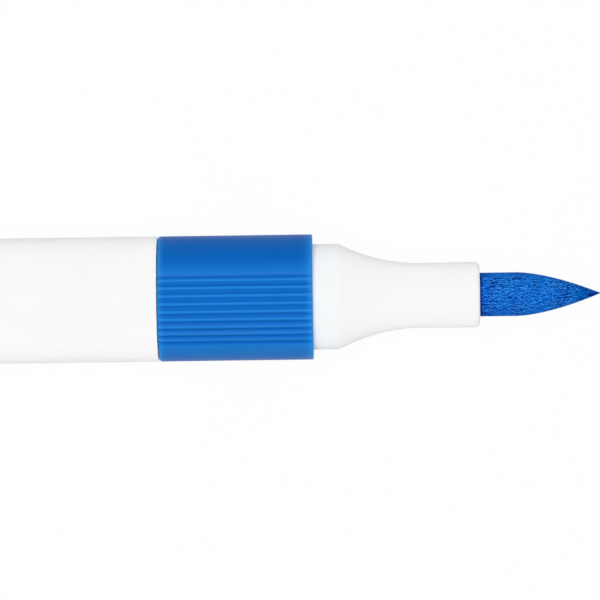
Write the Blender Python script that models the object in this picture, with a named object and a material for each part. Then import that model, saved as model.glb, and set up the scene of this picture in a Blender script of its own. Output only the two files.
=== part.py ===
"""Acrylic paint marker with a brush tip, built from the pieces that it comes apart into.

The pen's axis is X, with the tip towards +X. Stations along the axis are measured from the seam
between the barrel and the grip collar, and an empty on the axis carries every piece. The marker
lies on the plane Z = 0, uncapped, with its cap pushed onto the tail.

The front section (nose, collar and valve) screws into the barrel. Pressing the brush nib pushes the
valve stem back off its seat against the spring, which lets paint out of the barrel into the nib.
"""

import math

import bmesh
import bpy
import numpy as np
from mathutils import Matrix

MM = 0.001

# Outline of the front end, read from the photograph at the scale of a 14 mm barrel
BODY_RADIUS = 7.0 * MM
COLLAR_LENGTH = 17.42 * MM
SHOULDER_RADIUS = 5.9 * MM
SHOULDER_LENGTH = 2.78 * MM
FLARE_LENGTH = 9.2 * MM
NECK_RADIUS = 3.62 * MM
NECK_END_RADIUS = 3.66 * MM
NECK_LENGTH = 6.55 * MM
NECK_EDGE = 0.55 * MM
NIB_RADIUS = 2.435 * MM
NIB_STRAIGHT = 4.25 * MM
NIB_TAPER = 9.3 * MM
NIB_TAPER_POWER = 1.57

# Grip panels on the collar: two sets of lengthwise grooves on opposite sides
PANEL_COUNT = 2
PANEL_LEAN = math.radians(12.6)
GROOVE_COUNT = 10
GROOVE_PITCH = math.radians(7.4)
GROOVE_RADIUS = 0.24 * MM
GROOVE_OVERRUN = 0.5 * MM

# Barrel, tail and cap
BARREL_LENGTH = 90.0 * MM
BORE_RADIUS = 5.7 * MM
PLUG_DEPTH = 8.0 * MM
PLUG_FLANGE = 1.5 * MM
PLUG_FLOOR = 1.6 * MM
PLUG_CAVITY_RADIUS = 4.4 * MM
STUB_LENGTH = 10.0 * MM
CAP_LENGTH = 40.0 * MM
CAP_MOUTH_DEPTH = 12.5 * MM
CAP_INNER_RADIUS = 5.4 * MM
CAP_END_WALL = 1.6 * MM
LINER_MOUTH_DEPTH = 13.5 * MM
LINER_NIB_DEPTH = 22.0 * MM
LINER_PLUG_DEPTH = 29.0 * MM
LINER_OUTER_RADIUS = 4.7 * MM
LINER_SEAL_RADIUS = 3.76 * MM
LINER_NIB_RADIUS = 3.3 * MM
LINER_FLOOR = 1.6 * MM

# Front section inside the collar and the barrel
SLEEVE_RADIUS = 5.6 * MM
SPIGOT_RADIUS = 5.0 * MM
SPIGOT_LENGTH = 9.0 * MM
VALVE_BORE_RADIUS = 4.2 * MM
VALVE_BORE_END = 14.0 * MM
NOSE_CAVITY_RADIUS = 3.7 * MM
NOSE_CAVITY_END = 21.0 * MM
NIB_BORE_START = 26.5 * MM
NIB_TAIL_STATION = 18.0 * MM
KEY_WIDTH = 1.6 * MM
KEY_HEIGHT = 0.25 * MM
KEY_START = 2.0 * MM
KEY_END = 15.0 * MM
SEAL_STATION = -1.3 * MM
SEAL_WIDTH = 0.9 * MM
SEAL_INNER_RADIUS = 4.85 * MM

# Screw thread between the front section and the barrel
THREAD_PITCH = 2.4 * MM
THREAD_TURNS = 2.25
THREAD_STEPS = 24
THREAD_RUN_OUT = 8
THREAD_ROOT_WIDTH = 0.9 * MM
THREAD_CREST_WIDTH = 0.5 * MM
THREAD_START = -8.2 * MM
SPIGOT_THREAD_CREST = 5.5 * MM
BARREL_THREAD_CREST = 5.25 * MM
THREAD_SINK = 0.25 * MM
THREAD_END_RISE = 0.2

# Valve
VALVE_REAR = -6.0 * MM
VALVE_FRONT = 13.5 * MM
VALVE_CHAMBER_RADIUS = 3.4 * MM
SEAT_STATION = 9.5 * MM
SEAT_WALL = 1.2 * MM
SEAT_HOLE_RADIUS = 1.5 * MM
FRONT_CHAMBER_RADIUS = 3.0 * MM
RETAINER_THICKNESS = 1.3 * MM
RETAINER_GUIDE_RADIUS = 1.1 * MM
FLOW_HOLE_COUNT = 4
FLOW_HOLE_RADIUS = 0.45 * MM
FLOW_HOLE_CIRCLE = 2.25 * MM
STEM_HEAD_RADIUS = 2.8 * MM
STEM_HEAD_THICKNESS = 1.2 * MM
STEM_FRONT_RADIUS = 1.1 * MM
STEM_REAR_RADIUS = 0.9 * MM
STEM_REAR_LENGTH = 13.4 * MM
WASHER_THICKNESS = 1.2 * MM
WASHER_RADIUS = 2.6 * MM
SPRING_RADIUS = 2.0 * MM
SPRING_WIRE_RADIUS = 0.25 * MM
SPRING_TURNS = 8
SPRING_POINTS_PER_TURN = 10
SPRING_END_GAP = 0.3 * MM

# Mixing balls
BALL_RADIUS = 2.5 * MM
BALL_STATIONS = {"mixing_ball_front": -30.0 * MM, "mixing_ball_rear": -58.0 * MM}

# Gaps, edges and mesh fineness
FIT = 0.1 * MM
FACE_GAP = 0.1 * MM
EDGE = 0.3 * MM
CAP_EDGE = 1.0 * MM
SEGMENTS = 32
SMALL_SEGMENTS = 24
SMOOTH_ANGLE = math.radians(32)
CUTTER_MARGIN = 1.0 * MM
MERGE_DISTANCE = 0.001 * MM
FLARE_STEPS = 10
CORNER_STEPS = 4
NIB_STEPS = 12
ROD_SEGMENTS = 8
BALL_SUBDIVISIONS = 3

# Stations worked out from the sizes above
SHOULDER_END = COLLAR_LENGTH + SHOULDER_LENGTH
FLARE_END = SHOULDER_END + FLARE_LENGTH
NOSE_END = FLARE_END + NECK_LENGTH
NIB_TIP = NOSE_END + NIB_STRAIGHT + NIB_TAPER
NIB_BORE_RADIUS = NIB_RADIUS + FIT
TAIL = -BARREL_LENGTH
FLANGE_FRONT = TAIL - FACE_GAP
FLANGE_REAR = FLANGE_FRONT - PLUG_FLANGE
STUB_END = FLANGE_REAR - STUB_LENGTH
CAP_MOUTH = FLANGE_REAR - FACE_GAP
CAP_END = CAP_MOUTH - CAP_LENGTH
CAP_MOUTH_RADIUS = SHOULDER_RADIUS + FIT
WASHER_STATION = SEAT_STATION - FACE_GAP - WASHER_THICKNESS
STEM_STATION = WASHER_STATION - FACE_GAP - STEM_HEAD_THICKNESS
SPRING_REAR = VALVE_REAR + RETAINER_THICKNESS + SPRING_END_GAP
AXIS_HEIGHT = BODY_RADIUS * math.cos(math.pi / SEGMENTS)
MIDDLE = (NIB_TIP + CAP_END) / 2

# Finishes: linear colour, roughness and metallic value
FINISHES = {
    "white_polypropylene": ((0.90, 0.90, 0.90), 0.35, 0.0),
    "natural_polypropylene": ((0.86, 0.88, 0.88), 0.45, 0.0),
    "blue_moulded_plastic": ((0.010, 0.150, 0.560), 0.38, 0.0),
    "blue_fibre": ((0.006, 0.135, 0.530), 0.80, 0.0),
    "clear_polyethylene": ((0.78, 0.80, 0.80), 0.40, 0.0),
    "black_rubber": ((0.020, 0.020, 0.022), 0.70, 0.0),
    "spring_steel": ((0.56, 0.56, 0.58), 0.30, 1.0),
    "polished_steel": ((0.66, 0.66, 0.68), 0.12, 1.0),
}


def clear_scene():
    for old in list(bpy.data.objects):
        bpy.data.objects.remove(old, do_unlink=True)


def finish(name):
    """The named finish as a material, made once."""
    material = bpy.data.materials.get(name)
    if material is None:
        colour, roughness, metallic = FINISHES[name]
        material = bpy.data.materials.new(name)
        material.use_nodes = True
        shader = material.node_tree.nodes["Principled BSDF"]
        shader.inputs["Base Color"].default_value = (*colour, 1.0)
        shader.inputs["Roughness"].default_value = roughness
        shader.inputs["Metallic"].default_value = metallic
    return material


def make_axis():
    """The empty on the pen's axis, at the seam, that carries every piece."""
    axis = bpy.data.objects.new("marker_axis", None)
    axis.location = (-MIDDLE, 0.0, AXIS_HEIGHT)
    bpy.context.scene.collection.objects.link(axis)
    return axis


def add_object(name, data, axis, finish_name, station=0.0):
    """A piece in the scene, carried by the axis with its origin at the station."""
    piece = bpy.data.objects.new(name, data)
    bpy.context.scene.collection.objects.link(piece)
    piece.parent = axis
    piece.location = (station, 0.0, 0.0)
    data.materials.append(finish(finish_name))
    return piece


def mesh_from(bm, name):
    """Closes a bmesh into a smooth-shaded mesh whose faces point out."""
    bmesh.ops.recalc_face_normals(bm, faces=bm.faces)
    mesh = bpy.data.meshes.new(name)
    bm.to_mesh(mesh)
    bm.free()
    mesh.shade_smooth()
    mesh.set_sharp_from_angle(angle=SMOOTH_ANGLE)
    return mesh


def turned_mesh(name, outline, segments=SEGMENTS):
    """A solid of revolution about X. The outline is (x, radius) points: a closed loop round a bore,
    or an open line whose two ends lie on the axis. A flat of the polygon faces down."""
    bm = bmesh.new()
    turn = math.pi / segments
    points = [bm.verts.new((x, r * math.sin(turn), r * math.cos(turn))) for x, r in outline]
    pairs = list(zip(points, points[1:]))
    if outline[0][1] > 0.0:
        pairs.append((points[-1], points[0]))
    edges = [bm.edges.new(pair) for pair in pairs]
    bmesh.ops.spin(
        bm,
        geom=points + edges,
        cent=(0, 0, 0),
        axis=(1, 0, 0),
        angle=2 * math.pi,
        steps=segments,
        use_merge=True,
    )
    bmesh.ops.remove_doubles(bm, verts=bm.verts, dist=MERGE_DISTANCE)
    return mesh_from(bm, name)


def arc(centre_x, centre_r, radius, start, end, steps):
    """Points of a circular arc in the (x, radius) plane, from one angle to another in degrees."""
    angles = np.radians(np.linspace(start, end, steps + 1))
    return [(centre_x + radius * math.cos(a), centre_r + radius * math.sin(a)) for a in angles]


def helper(name, bm, axis, station=0.0):
    """A hidden object that another piece is cut by or joined with."""
    tool = bpy.data.objects.new(name, mesh_from(bm, name))
    bpy.context.scene.collection.objects.link(tool)
    tool.parent = axis
    tool.location = (station, 0.0, 0.0)
    tool.hide_render = True
    tool.display_type = "WIRE"
    return tool


def combine(piece, operation, tool):
    modifier = piece.modifiers.new(tool.name, "BOOLEAN")
    modifier.operation = operation
    modifier.object = tool
    modifier.solver = "EXACT"


def around(angle, radius, x):
    """A place on a cylinder about X, with its own Z pointing out. The angle runs from straight up, by
    the right-hand rule about X."""
    return Matrix.Rotation(angle, 4, "X") @ Matrix.Translation((x, 0.0, radius))


def rods_along(name, axis, places, radius, length, station=0.0):
    """Rods that lie along X, one at each place, which cut grooves or holes."""
    bm = bmesh.new()
    lay_along = Matrix.Rotation(math.pi / 2, 4, "Y")
    for place in places:
        bmesh.ops.create_cone(
            bm,
            cap_ends=True,
            segments=ROD_SEGMENTS,
            radius1=radius,
            radius2=radius,
            depth=length,
            matrix=place @ lay_along,
        )
    return helper(name, bm, axis, station)


def thread_ridge(name, axis, wall_radius, crest_radius, start):
    """A right-handed helical ridge on a round wall, rooted inside the wall. It rises over its first
    steps and sinks over its last, and at both ends its crest is under the wall's surface."""
    root = wall_radius - math.copysign(THREAD_SINK, crest_radius - wall_radius)
    wide, narrow = THREAD_ROOT_WIDTH / 2, THREAD_CREST_WIDTH / 2
    steps = round(THREAD_TURNS * THREAD_STEPS)
    bm = bmesh.new()
    sections = []
    for step in range(steps + 1):
        angle = 2 * math.pi * step / THREAD_STEPS
        x = start + THREAD_PITCH * step / THREAD_STEPS
        rise = min(1.0, step / THREAD_RUN_OUT, (steps - step) / THREAD_RUN_OUT)
        tip = root + (crest_radius - root) * (THREAD_END_RISE + (1.0 - THREAD_END_RISE) * rise)
        corners = ((-wide, root), (-narrow, tip), (narrow, tip), (wide, root))
        section = [(x + offset, radius) for offset, radius in corners]
        sections.append([bm.verts.new((u, -r * math.sin(angle), r * math.cos(angle))) for u, r in section])
    for near, far in zip(sections, sections[1:]):
        for i in range(4):
            j = (i + 1) % 4
            bm.faces.new((near[i], near[j], far[j], far[i]))
    bm.faces.new(sections[0])
    bm.faces.new(sections[-1])
    return helper(name, bm, axis)


def key_blocks(name, axis, grow):
    """Two blocks on the sides of the nose's sleeve, which turn the nose with the collar. Grown a
    little, they cut the collar's keyways."""
    bm = bmesh.new()
    length = KEY_END - KEY_START + 2 * grow
    height = 2 * (KEY_HEIGHT + grow)
    size = Matrix.Diagonal((length, KEY_WIDTH + 2 * grow, height, 1.0))
    for side in (math.pi / 2, -math.pi / 2):
        place = around(PANEL_LEAN + side, SLEEVE_RADIUS, (KEY_START + KEY_END) / 2)
        bmesh.ops.create_cube(bm, size=1.0, matrix=place @ size)
    return helper(name, bm, axis)


def make_barrel(axis):
    """White tube that holds the paint, with a screw thread in its mouth."""
    outline = [
        (TAIL, BORE_RADIUS),
        (TAIL, BODY_RADIUS - EDGE),
        (TAIL + EDGE, BODY_RADIUS),
        (-EDGE, BODY_RADIUS),
        (0.0, BODY_RADIUS - EDGE),
        (0.0, BORE_RADIUS),
    ]
    barrel = add_object("barrel", turned_mesh("barrel", outline), axis, "white_polypropylene")
    start = THREAD_START - THREAD_PITCH / 2
    combine(barrel, "UNION", thread_ridge("barrel_thread", axis, BORE_RADIUS, BARREL_THREAD_CREST, start))


def make_end_plug(axis):
    """Hollow plug pressed into the tail, with a flange and the stub that the cap is pushed onto."""
    front = TAIL + PLUG_DEPTH
    spigot = BORE_RADIUS - FIT
    cavity_end = STUB_END + PLUG_FLOOR
    outline = [
        (front, PLUG_CAVITY_RADIUS),
        (front, spigot - EDGE),
        (front - EDGE, spigot),
        (FLANGE_FRONT, spigot),
        (FLANGE_FRONT, BODY_RADIUS - EDGE),
        (FLANGE_FRONT - EDGE, BODY_RADIUS),
        (FLANGE_REAR + EDGE, BODY_RADIUS),
        (FLANGE_REAR, BODY_RADIUS - EDGE),
        (FLANGE_REAR, SHOULDER_RADIUS),
    ]
    outline += arc(STUB_END + CAP_EDGE, SHOULDER_RADIUS - CAP_EDGE, CAP_EDGE, 90, 180, CORNER_STEPS)
    outline += [(STUB_END, 0.0)]
    inside = [(cavity_end, 0.0), (cavity_end, PLUG_CAVITY_RADIUS)]
    mesh = turned_mesh("end_plug", inside + outline)
    add_object("end_plug", mesh, axis, "blue_moulded_plastic")


def groove_rods(axis):
    """Thin rods laid along the collar's surface, past both ends, one for each groove of the two panels."""
    angles = []
    for panel in range(PANEL_COUNT):
        middle = PANEL_LEAN + panel * 2 * math.pi / PANEL_COUNT
        angles += [middle + (i - (GROOVE_COUNT - 1) / 2) * GROOVE_PITCH for i in range(GROOVE_COUNT)]
    places = [around(angle, BODY_RADIUS, COLLAR_LENGTH / 2) for angle in angles]
    return rods_along("groove_rods", axis, places, GROOVE_RADIUS, COLLAR_LENGTH + 2 * GROOVE_OVERRUN)


def make_collar(axis):
    """Blue ring on the nose's sleeve, grooved for the fingers that unscrew the front section."""
    bore = SLEEVE_RADIUS + FIT
    rear, front = FACE_GAP, COLLAR_LENGTH - FACE_GAP
    outline = [
        (rear, bore),
        (rear, BODY_RADIUS - EDGE),
        (rear + EDGE, BODY_RADIUS),
        (front - EDGE, BODY_RADIUS),
        (front, BODY_RADIUS - EDGE),
        (front, bore),
    ]
    collar = add_object("grip_collar", turned_mesh("grip_collar", outline), axis, "blue_moulded_plastic")
    combine(collar, "DIFFERENCE", groove_rods(axis))
    combine(collar, "DIFFERENCE", key_blocks("collar_keyways", axis, FIT))


def flare(steps):
    """The nose's concave curve from the shoulder down to the neck: an arc tangent to the neck."""
    drop = SHOULDER_RADIUS - NECK_RADIUS
    radius = (FLARE_LENGTH**2 + drop**2) / (2 * drop)
    start = math.degrees(math.asin(FLARE_LENGTH / radius))
    return arc(FLARE_END, NECK_RADIUS + radius, radius, -90 - start, -90, steps)


def make_nose(axis):
    """White nose: guides the nib, carries the collar and the valve, and screws into the barrel."""
    groove_rear, groove_front = SEAL_STATION - SEAL_WIDTH / 2 - FIT, SEAL_STATION + SEAL_WIDTH / 2 + FIT
    groove_floor = SEAL_INNER_RADIUS - FIT
    outline = [
        (-SPIGOT_LENGTH, VALVE_BORE_RADIUS),
        (-SPIGOT_LENGTH, SPIGOT_RADIUS - EDGE),
        (EDGE - SPIGOT_LENGTH, SPIGOT_RADIUS),
        (groove_rear, SPIGOT_RADIUS),
        (groove_rear, groove_floor),
        (groove_front, groove_floor),
        (groove_front, SPIGOT_RADIUS),
        (FACE_GAP, SPIGOT_RADIUS),
        (FACE_GAP, SLEEVE_RADIUS),
        (COLLAR_LENGTH, SLEEVE_RADIUS),
        (COLLAR_LENGTH, SHOULDER_RADIUS),
    ]
    outline += flare(FLARE_STEPS)
    outline += arc(NOSE_END - NECK_EDGE, NECK_END_RADIUS - NECK_EDGE, NECK_EDGE, 90, 0, CORNER_STEPS)
    outline += [
        (NOSE_END, NIB_BORE_RADIUS + EDGE),
        (NOSE_END - EDGE, NIB_BORE_RADIUS),
        (NIB_BORE_START, NIB_BORE_RADIUS),
        (NOSE_CAVITY_END, NOSE_CAVITY_RADIUS),
        (VALVE_BORE_END, NOSE_CAVITY_RADIUS),
        (VALVE_BORE_END, VALVE_BORE_RADIUS),
    ]
    nose = add_object("nose_cone", turned_mesh("nose_cone", outline), axis, "natural_polypropylene")
    ridge = thread_ridge("spigot_thread", axis, SPIGOT_RADIUS, SPIGOT_THREAD_CREST, THREAD_START)
    combine(nose, "UNION", ridge)
    combine(nose, "UNION", key_blocks("nose_keys", axis, 0.0))


def make_nib(axis):
    """Brush nib of bonded fibre: a plain rod that narrows to a point on a power curve."""
    shoulder = NIB_TIP - NIB_TAPER - NIB_TAIL_STATION
    outline = [(0.0, 0.0), (0.0, NIB_RADIUS - EDGE), (EDGE, NIB_RADIUS)]
    for share in np.linspace(0.0, 1.0, NIB_STEPS + 1):
        outline.append((shoulder + NIB_TAPER * share, NIB_RADIUS * (1.0 - share**NIB_TAPER_POWER)))
    mesh = turned_mesh("brush_nib", outline, SMALL_SEGMENTS)
    add_object("brush_nib", mesh, axis, "blue_fibre", NIB_TAIL_STATION)


def make_front_seal(axis):
    """Rubber ring in the groove of the screwed spigot, which keeps the paint in the barrel."""
    outer = BORE_RADIUS - FIT
    middle, section = (SEAL_INNER_RADIUS + outer) / 2, (outer - SEAL_INNER_RADIUS) / 2
    angles = np.radians(np.arange(0, 360, 45))
    outline = [(SEAL_WIDTH / 2 * math.cos(a), middle + section * math.sin(a)) for a in angles]
    mesh = turned_mesh("front_seal", outline)
    add_object("front_seal", mesh, axis, "black_rubber", SEAL_STATION)


def make_valve_body(axis):
    """Cup pressed into the nose, with the wall and hole that are the valve's seat."""
    outer = VALVE_BORE_RADIUS - FIT
    outline = [
        (VALVE_REAR, VALVE_CHAMBER_RADIUS),
        (VALVE_REAR, outer - EDGE),
        (VALVE_REAR + EDGE, outer),
        (VALVE_FRONT, outer),
        (VALVE_FRONT, FRONT_CHAMBER_RADIUS),
        (SEAT_STATION + SEAT_WALL, FRONT_CHAMBER_RADIUS),
        (SEAT_STATION + SEAT_WALL, SEAT_HOLE_RADIUS),
        (SEAT_STATION, SEAT_HOLE_RADIUS),
        (SEAT_STATION, VALVE_CHAMBER_RADIUS),
    ]
    add_object("valve_body", turned_mesh("valve_body", outline), axis, "natural_polypropylene")


def make_spring_retainer(axis):
    """Disc that closes the valve's rear, backs the spring, guides the stem and lets paint through."""
    outer = VALVE_CHAMBER_RADIUS - FIT
    outline = [
        (0.0, RETAINER_GUIDE_RADIUS),
        (0.0, outer),
        (RETAINER_THICKNESS, outer),
        (RETAINER_THICKNESS, RETAINER_GUIDE_RADIUS),
    ]
    mesh = turned_mesh("spring_retainer", outline)
    retainer = add_object("spring_retainer", mesh, axis, "natural_polypropylene", VALVE_REAR)
    turns = [2 * math.pi * hole / FLOW_HOLE_COUNT for hole in range(FLOW_HOLE_COUNT)]
    places = [around(turn, FLOW_HOLE_CIRCLE, RETAINER_THICKNESS / 2) for turn in turns]
    length = RETAINER_THICKNESS + 2 * CUTTER_MARGIN
    holes = rods_along("flow_holes", axis, places, FLOW_HOLE_RADIUS, length, VALVE_REAR)
    combine(retainer, "DIFFERENCE", holes)


def make_valve_stem(axis):
    """Stem with a head that shuts the seat: the front pin meets the nib, the rear pin is guided."""
    front_end = NIB_TAIL_STATION - FACE_GAP - STEM_STATION
    outline = [
        (-STEM_REAR_LENGTH, 0.0),
        (-STEM_REAR_LENGTH, STEM_REAR_RADIUS),
        (0.0, STEM_REAR_RADIUS),
        (0.0, STEM_HEAD_RADIUS),
        (STEM_HEAD_THICKNESS, STEM_HEAD_RADIUS),
        (STEM_HEAD_THICKNESS, STEM_FRONT_RADIUS),
        (front_end - EDGE, STEM_FRONT_RADIUS),
        (front_end, STEM_FRONT_RADIUS - EDGE),
        (front_end, 0.0),
    ]
    mesh = turned_mesh("valve_stem", outline, SMALL_SEGMENTS)
    add_object("valve_stem", mesh, axis, "natural_polypropylene", STEM_STATION)


def make_valve_washer(axis):
    """Rubber washer on the stem that seals against the seat."""
    inner = STEM_FRONT_RADIUS + FIT
    outline = [
        (0.0, inner),
        (0.0, WASHER_RADIUS),
        (WASHER_THICKNESS, WASHER_RADIUS),
        (WASHER_THICKNESS, inner),
    ]
    mesh = turned_mesh("valve_washer", outline, SMALL_SEGMENTS)
    add_object("valve_washer", mesh, axis, "black_rubber", WASHER_STATION)


def least_gap(points, wire_radius, skip):
    """The least clear distance between points of a wire that are more than skip points apart."""
    points = np.asarray(points)
    apart = np.linalg.norm(points[:, None] - points[None, :], axis=2)
    index = np.arange(len(points))
    near = np.abs(index[:, None] - index[None, :]) <= skip
    return apart[~near].min() - 2 * wire_radius


def make_valve_spring(axis):
    """Compression spring between the retainer and the stem's head, as one helical wire."""
    length = STEM_STATION - SPRING_END_GAP - SPRING_REAR - 2 * SPRING_WIRE_RADIUS
    count = SPRING_TURNS * SPRING_POINTS_PER_TURN + 1
    share = np.linspace(0.0, 1.0, count)
    angle = 2 * math.pi * SPRING_TURNS * share
    xs = SPRING_WIRE_RADIUS + length * share
    points = np.column_stack((xs, -SPRING_RADIUS * np.sin(angle), SPRING_RADIUS * np.cos(angle)))
    curve = bpy.data.curves.new("valve_spring", "CURVE")
    curve.dimensions = "3D"
    curve.bevel_depth = SPRING_WIRE_RADIUS
    curve.bevel_resolution = 1
    curve.use_fill_caps = True
    spline = curve.splines.new("POLY")
    spline.points.add(count - 1)
    for point, place in zip(spline.points, points):
        point.co = (*place, 1.0)
    add_object("valve_spring", curve, axis, "spring_steel", SPRING_REAR)
    gap = least_gap(points, SPRING_WIRE_RADIUS, SPRING_POINTS_PER_TURN // 2)
    print(f"valve_spring: {SPRING_TURNS} turns, least gap {gap / MM:.2f} mm")


def make_mixing_balls(axis):
    """Two steel balls that stir the paint. They lie at the bottom of the barrel's bore."""
    drop = BORE_RADIUS * math.cos(math.pi / SEGMENTS) - BALL_RADIUS - FIT
    for name, station in BALL_STATIONS.items():
        bm = bmesh.new()
        bmesh.ops.create_icosphere(bm, subdivisions=BALL_SUBDIVISIONS, radius=BALL_RADIUS)
        ball = add_object(name, mesh_from(bm, name), axis, "polished_steel", station)
        ball.location.z = -drop


def make_cap_shell(axis):
    """Blue cap, pushed onto the tail's stub. Its mouth fits the stub and the nose's shoulder alike."""
    end = -CAP_LENGTH
    inner_end = end + CAP_END_WALL
    outline = [
        (inner_end, 0.0),
        (inner_end, CAP_INNER_RADIUS),
        (-CAP_MOUTH_DEPTH, CAP_INNER_RADIUS),
        (-CAP_MOUTH_DEPTH, CAP_MOUTH_RADIUS),
        (0.0, CAP_MOUTH_RADIUS),
        (0.0, BODY_RADIUS - EDGE),
        (-EDGE, BODY_RADIUS),
    ]
    outline += arc(end + CAP_EDGE, BODY_RADIUS - CAP_EDGE, CAP_EDGE, 90, 180, CORNER_STEPS)
    outline += [(end, 0.0)]
    add_object("cap_shell", turned_mesh("cap_shell", outline), axis, "blue_moulded_plastic", CAP_MOUTH)


def make_cap_liner(axis):
    """Soft inner cup of the cap: its mouth seals round the nose's neck and its inside clears the nib."""
    plug_radius = CAP_INNER_RADIUS - FIT
    end = FACE_GAP + CAP_END_WALL - CAP_LENGTH
    outline = [
        (end + LINER_FLOOR, 0.0),
        (end + LINER_FLOOR, LINER_NIB_RADIUS),
        (-LINER_NIB_DEPTH, LINER_NIB_RADIUS),
        (LINER_SEAL_RADIUS - LINER_NIB_RADIUS - LINER_NIB_DEPTH, LINER_SEAL_RADIUS),
        (-LINER_MOUTH_DEPTH - EDGE, LINER_SEAL_RADIUS),
        (-LINER_MOUTH_DEPTH, LINER_SEAL_RADIUS + EDGE),
        (-LINER_MOUTH_DEPTH, LINER_OUTER_RADIUS),
        (-LINER_PLUG_DEPTH, LINER_OUTER_RADIUS),
        (-LINER_PLUG_DEPTH, plug_radius),
        (end + EDGE, plug_radius),
        (end, plug_radius - EDGE),
        (end, 0.0),
    ]
    add_object("cap_liner", turned_mesh("cap_liner", outline), axis, "clear_polyethylene", CAP_MOUTH)


def main():
    clear_scene()
    axis = make_axis()
    make_barrel(axis)
    make_end_plug(axis)
    make_collar(axis)
    make_nose(axis)
    make_nib(axis)
    make_front_seal(axis)
    make_valve_body(axis)
    make_spring_retainer(axis)
    make_valve_stem(axis)
    make_valve_washer(axis)
    make_valve_spring(axis)
    make_mixing_balls(axis)
    make_cap_shell(axis)
    make_cap_liner(axis)


main()
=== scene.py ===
# %% [markdown]
# # A brush-tip paint marker, dressed for its portrait
# The CAD model of the marker is a set of faceted solids that fit and move: it says where everything is.
# This lesson lays a fine, rounded surface over each solid and gives it the finish of the real material:
# milky white polypropylene, satin blue plastic, felted fibre soaked with paint, rubber and steel.

import math

import bpy
import numpy as np
from mathutils import Euler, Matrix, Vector


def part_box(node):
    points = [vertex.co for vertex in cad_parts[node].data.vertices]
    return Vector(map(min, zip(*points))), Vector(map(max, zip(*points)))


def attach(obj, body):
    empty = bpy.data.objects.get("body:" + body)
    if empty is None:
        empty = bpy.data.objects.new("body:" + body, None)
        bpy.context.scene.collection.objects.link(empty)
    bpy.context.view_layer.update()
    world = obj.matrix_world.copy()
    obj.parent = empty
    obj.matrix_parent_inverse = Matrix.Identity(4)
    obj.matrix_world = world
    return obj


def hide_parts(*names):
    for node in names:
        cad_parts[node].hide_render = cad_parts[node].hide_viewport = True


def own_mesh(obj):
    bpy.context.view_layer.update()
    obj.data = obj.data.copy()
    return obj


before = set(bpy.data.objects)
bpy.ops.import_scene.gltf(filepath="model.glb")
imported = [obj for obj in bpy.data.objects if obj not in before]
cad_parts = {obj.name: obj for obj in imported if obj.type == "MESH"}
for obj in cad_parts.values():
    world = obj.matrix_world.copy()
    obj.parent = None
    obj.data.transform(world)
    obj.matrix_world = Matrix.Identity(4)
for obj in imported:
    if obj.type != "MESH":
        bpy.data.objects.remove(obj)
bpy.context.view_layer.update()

# %% [markdown]
# ## One axis and one seam
# Every piece of a marker is turned about one straight axis, so a place on it needs only two numbers: a
# station along the axis and a radius. Stations are counted in millimetres from the seam between the white
# barrel and the blue collar, positive towards the tip. They are read from the frame, so that the surfaces
# land on the solids with no fitting. A CAD round is a polygon that lies on a flat: half its height is a
# little less than the true radius, and the cosine of half a step puts that right.

# %% Stations and radii from the frame
MM = 0.001
CAD_SEGMENTS = 32
CAD_SMALL_SEGMENTS = 24

barrel_low, barrel_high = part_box("barrel")
SEAM_X = barrel_high.x
AXIS_Z = (barrel_low.z + barrel_high.z) / 2


def span(node):
    """First and last station of a CAD node, in millimetres from the seam."""
    low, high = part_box(node)
    return (low.x - SEAM_X) / MM, (high.x - SEAM_X) / MM


def outer_radius(node, segments=CAD_SEGMENTS):
    """True outer radius of a turned CAD node, in millimetres."""
    low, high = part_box(node)
    return (high.z - low.z) / 2 / math.cos(math.pi / segments) / MM


BODY_RADIUS = outer_radius("barrel")
SHOULDER_RADIUS = outer_radius("nose_cone")
NIB_RADIUS = outer_radius("brush_nib", CAD_SMALL_SEGMENTS)
print(f"barrel radius {BODY_RADIUS:.3f} mm, shoulder {SHOULDER_RADIUS:.3f} mm, nib {NIB_RADIUS:.3f} mm")

# %% [markdown]
# ## The camera
# The photograph is a flat lay: the lens looks straight down on the marker, from far off, so there is
# hardly any perspective. The frame is 600 pixels square. Three facts place the camera: how many pixels
# make a millimetre, which pixel the seam falls on, and how far the axis climbs from left to right. The
# lens stands a little towards the tip, which is why the ends of the collar look slightly bowed.

# %% Camera
PHOTO_WIDTH = 600
PIXELS_PER_MM = 8.943
SEAM_PIXEL = 157.6
AXIS_PIXEL_AT_LEFT = 300.7
AXIS_CLIMB = 0.0138
CAMERA_DISTANCE = 0.7
CAMERA_LEAN = math.radians(0.64)
CAMERA_CLIP = 0.01
SENSOR_MM = 36.0


def add_camera():
    """Points the camera at the place in the middle of the photograph. The field is the frame's width
    divided by the scale, and the lens is the sensor's width times the distance over the field."""
    middle = (PHOTO_WIDTH - 1) / 2
    axis_pixel = AXIS_PIXEL_AT_LEFT - AXIS_CLIMB * middle
    aim_x = SEAM_X + (middle - SEAM_PIXEL) / PIXELS_PER_MM * MM
    aim_y = (axis_pixel - middle) / PIXELS_PER_MM * MM
    field = PHOTO_WIDTH / PIXELS_PER_MM * MM
    turn = Euler((0.0, CAMERA_LEAN, -math.atan(AXIS_CLIMB)))
    away = turn.to_matrix() @ Vector((0.0, 0.0, CAMERA_DISTANCE))
    camera = bpy.data.objects.new("camera", bpy.data.cameras.new("camera"))
    camera.data.sensor_fit = "HORIZONTAL"
    camera.data.sensor_width = SENSOR_MM
    camera.data.lens = SENSOR_MM * CAMERA_DISTANCE / field
    camera.data.clip_start = CAMERA_CLIP
    camera.location = Vector((aim_x, aim_y, AXIS_Z)) + away
    camera.rotation_euler = turn
    bpy.context.scene.collection.objects.link(camera)
    bpy.context.scene.camera = camera
    return field


print(f"field {add_camera() / MM:.1f} mm wide")

# %% [markdown]
# ## Adding shader nodes
# Light and finishes are both trees of nodes. Blender's own way takes a line for the node, one for each
# setting and one for each link, so one small function does all three, and every tree below is built with
# it.

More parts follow.
